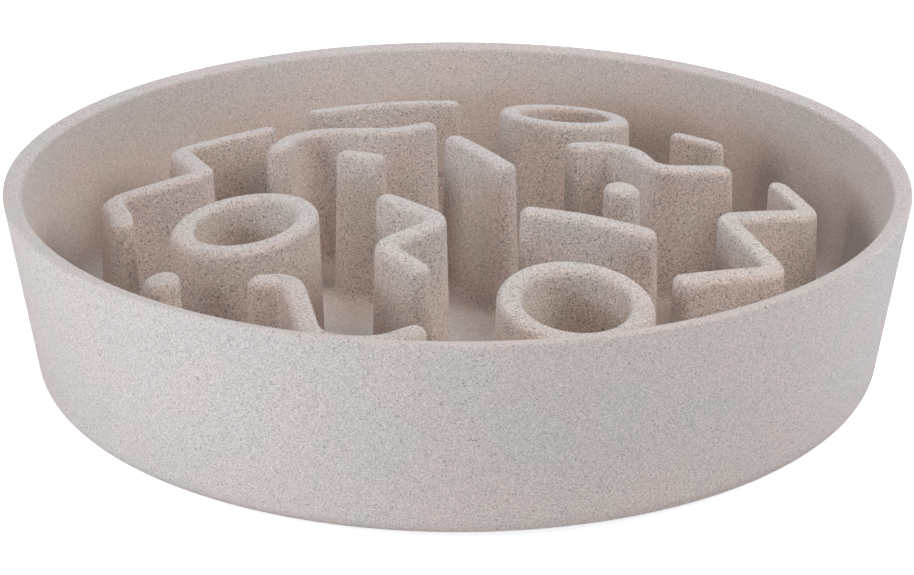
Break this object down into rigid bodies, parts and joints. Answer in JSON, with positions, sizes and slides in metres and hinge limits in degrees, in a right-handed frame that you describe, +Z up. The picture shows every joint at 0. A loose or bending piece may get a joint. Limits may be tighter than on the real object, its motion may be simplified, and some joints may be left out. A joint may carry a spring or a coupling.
{
  "type": "slow feeder bowl",
  "caption": "Wide, low pet bowl of speckled fibre composite whose floor carries a maze of zigzag, wave, ring and bar walls that slow down eating.",
  "frame": {"origin": "on the ground at the middle of the bowl, under the foot pads", "axes": "+Z up; -Y is the front of the bowl as pictured, +X its right"},
  "size_m": [0.28, 0.28, 0.062],
  "materials": {
    "fibre_composite": "matte, fine dark and light specks in a pale warm grey",
    "pad_rubber": "matte"
  },
  "bodies": {
    "root": {"bowl_shell": "fibre_composite", "ring_left": "fibre_composite", "ring_back": "fibre_composite", "ring_front": "fibre_composite", "zigzag_left": "fibre_composite", "zigzag_centre": "fibre_composite", "zigzag_right": "fibre_composite", "wave_back": "fibre_composite", "wave_right": "fibre_composite", "wave_front": "fibre_composite", "bar_back": "fibre_composite", "bar_blade": "fibre_composite", "bar_post": "fibre_composite", "bar_centre": "fibre_composite", "bar_small": "fibre_composite", "peg_right": "fibre_composite", "peg_front": "fibre_composite", "foot_pad_1": "pad_rubber", "foot_pad_2": "pad_rubber", "foot_pad_3": "pad_rubber", "foot_pad_4": "pad_rubber"}
  },
  "joints": []
}
